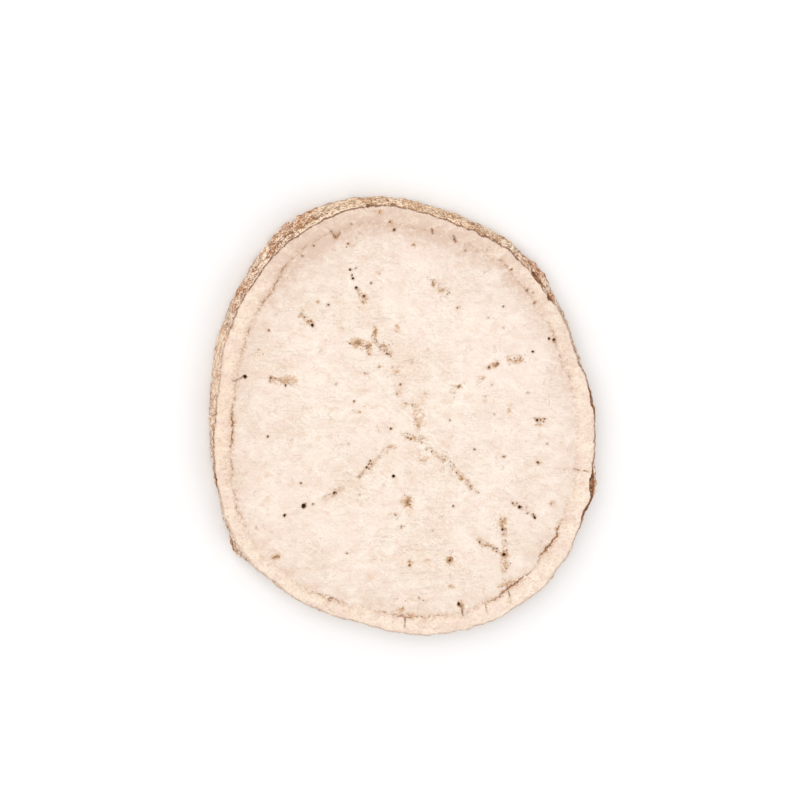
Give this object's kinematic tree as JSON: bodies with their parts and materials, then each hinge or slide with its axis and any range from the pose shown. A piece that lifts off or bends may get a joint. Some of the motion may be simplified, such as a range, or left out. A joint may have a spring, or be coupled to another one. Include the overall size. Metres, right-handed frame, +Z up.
{
  "type": "dried stephania root slice",
  "caption": "Thick cross-cut slice of dried stephania root: a pale starchy cut face with a ring of bark, rows of dark pores running out from the pith, and wrinkled brown cork round its edge.",
  "frame": {"origin": "middle of the outline's box seen from above, on the surface that the slice lies on", "axes": "+Z up out of the upper cut face, along the root; +Y to the edge of the slice that is at the top of the picture"},
  "size_m": [0.0454, 0.0516, 0.0038],
  "materials": {
    "dried_root": "matte, powdery"
  },
  "bodies": {
    "root": {"root_slice": "dried_root"}
  },
  "joints": []
}
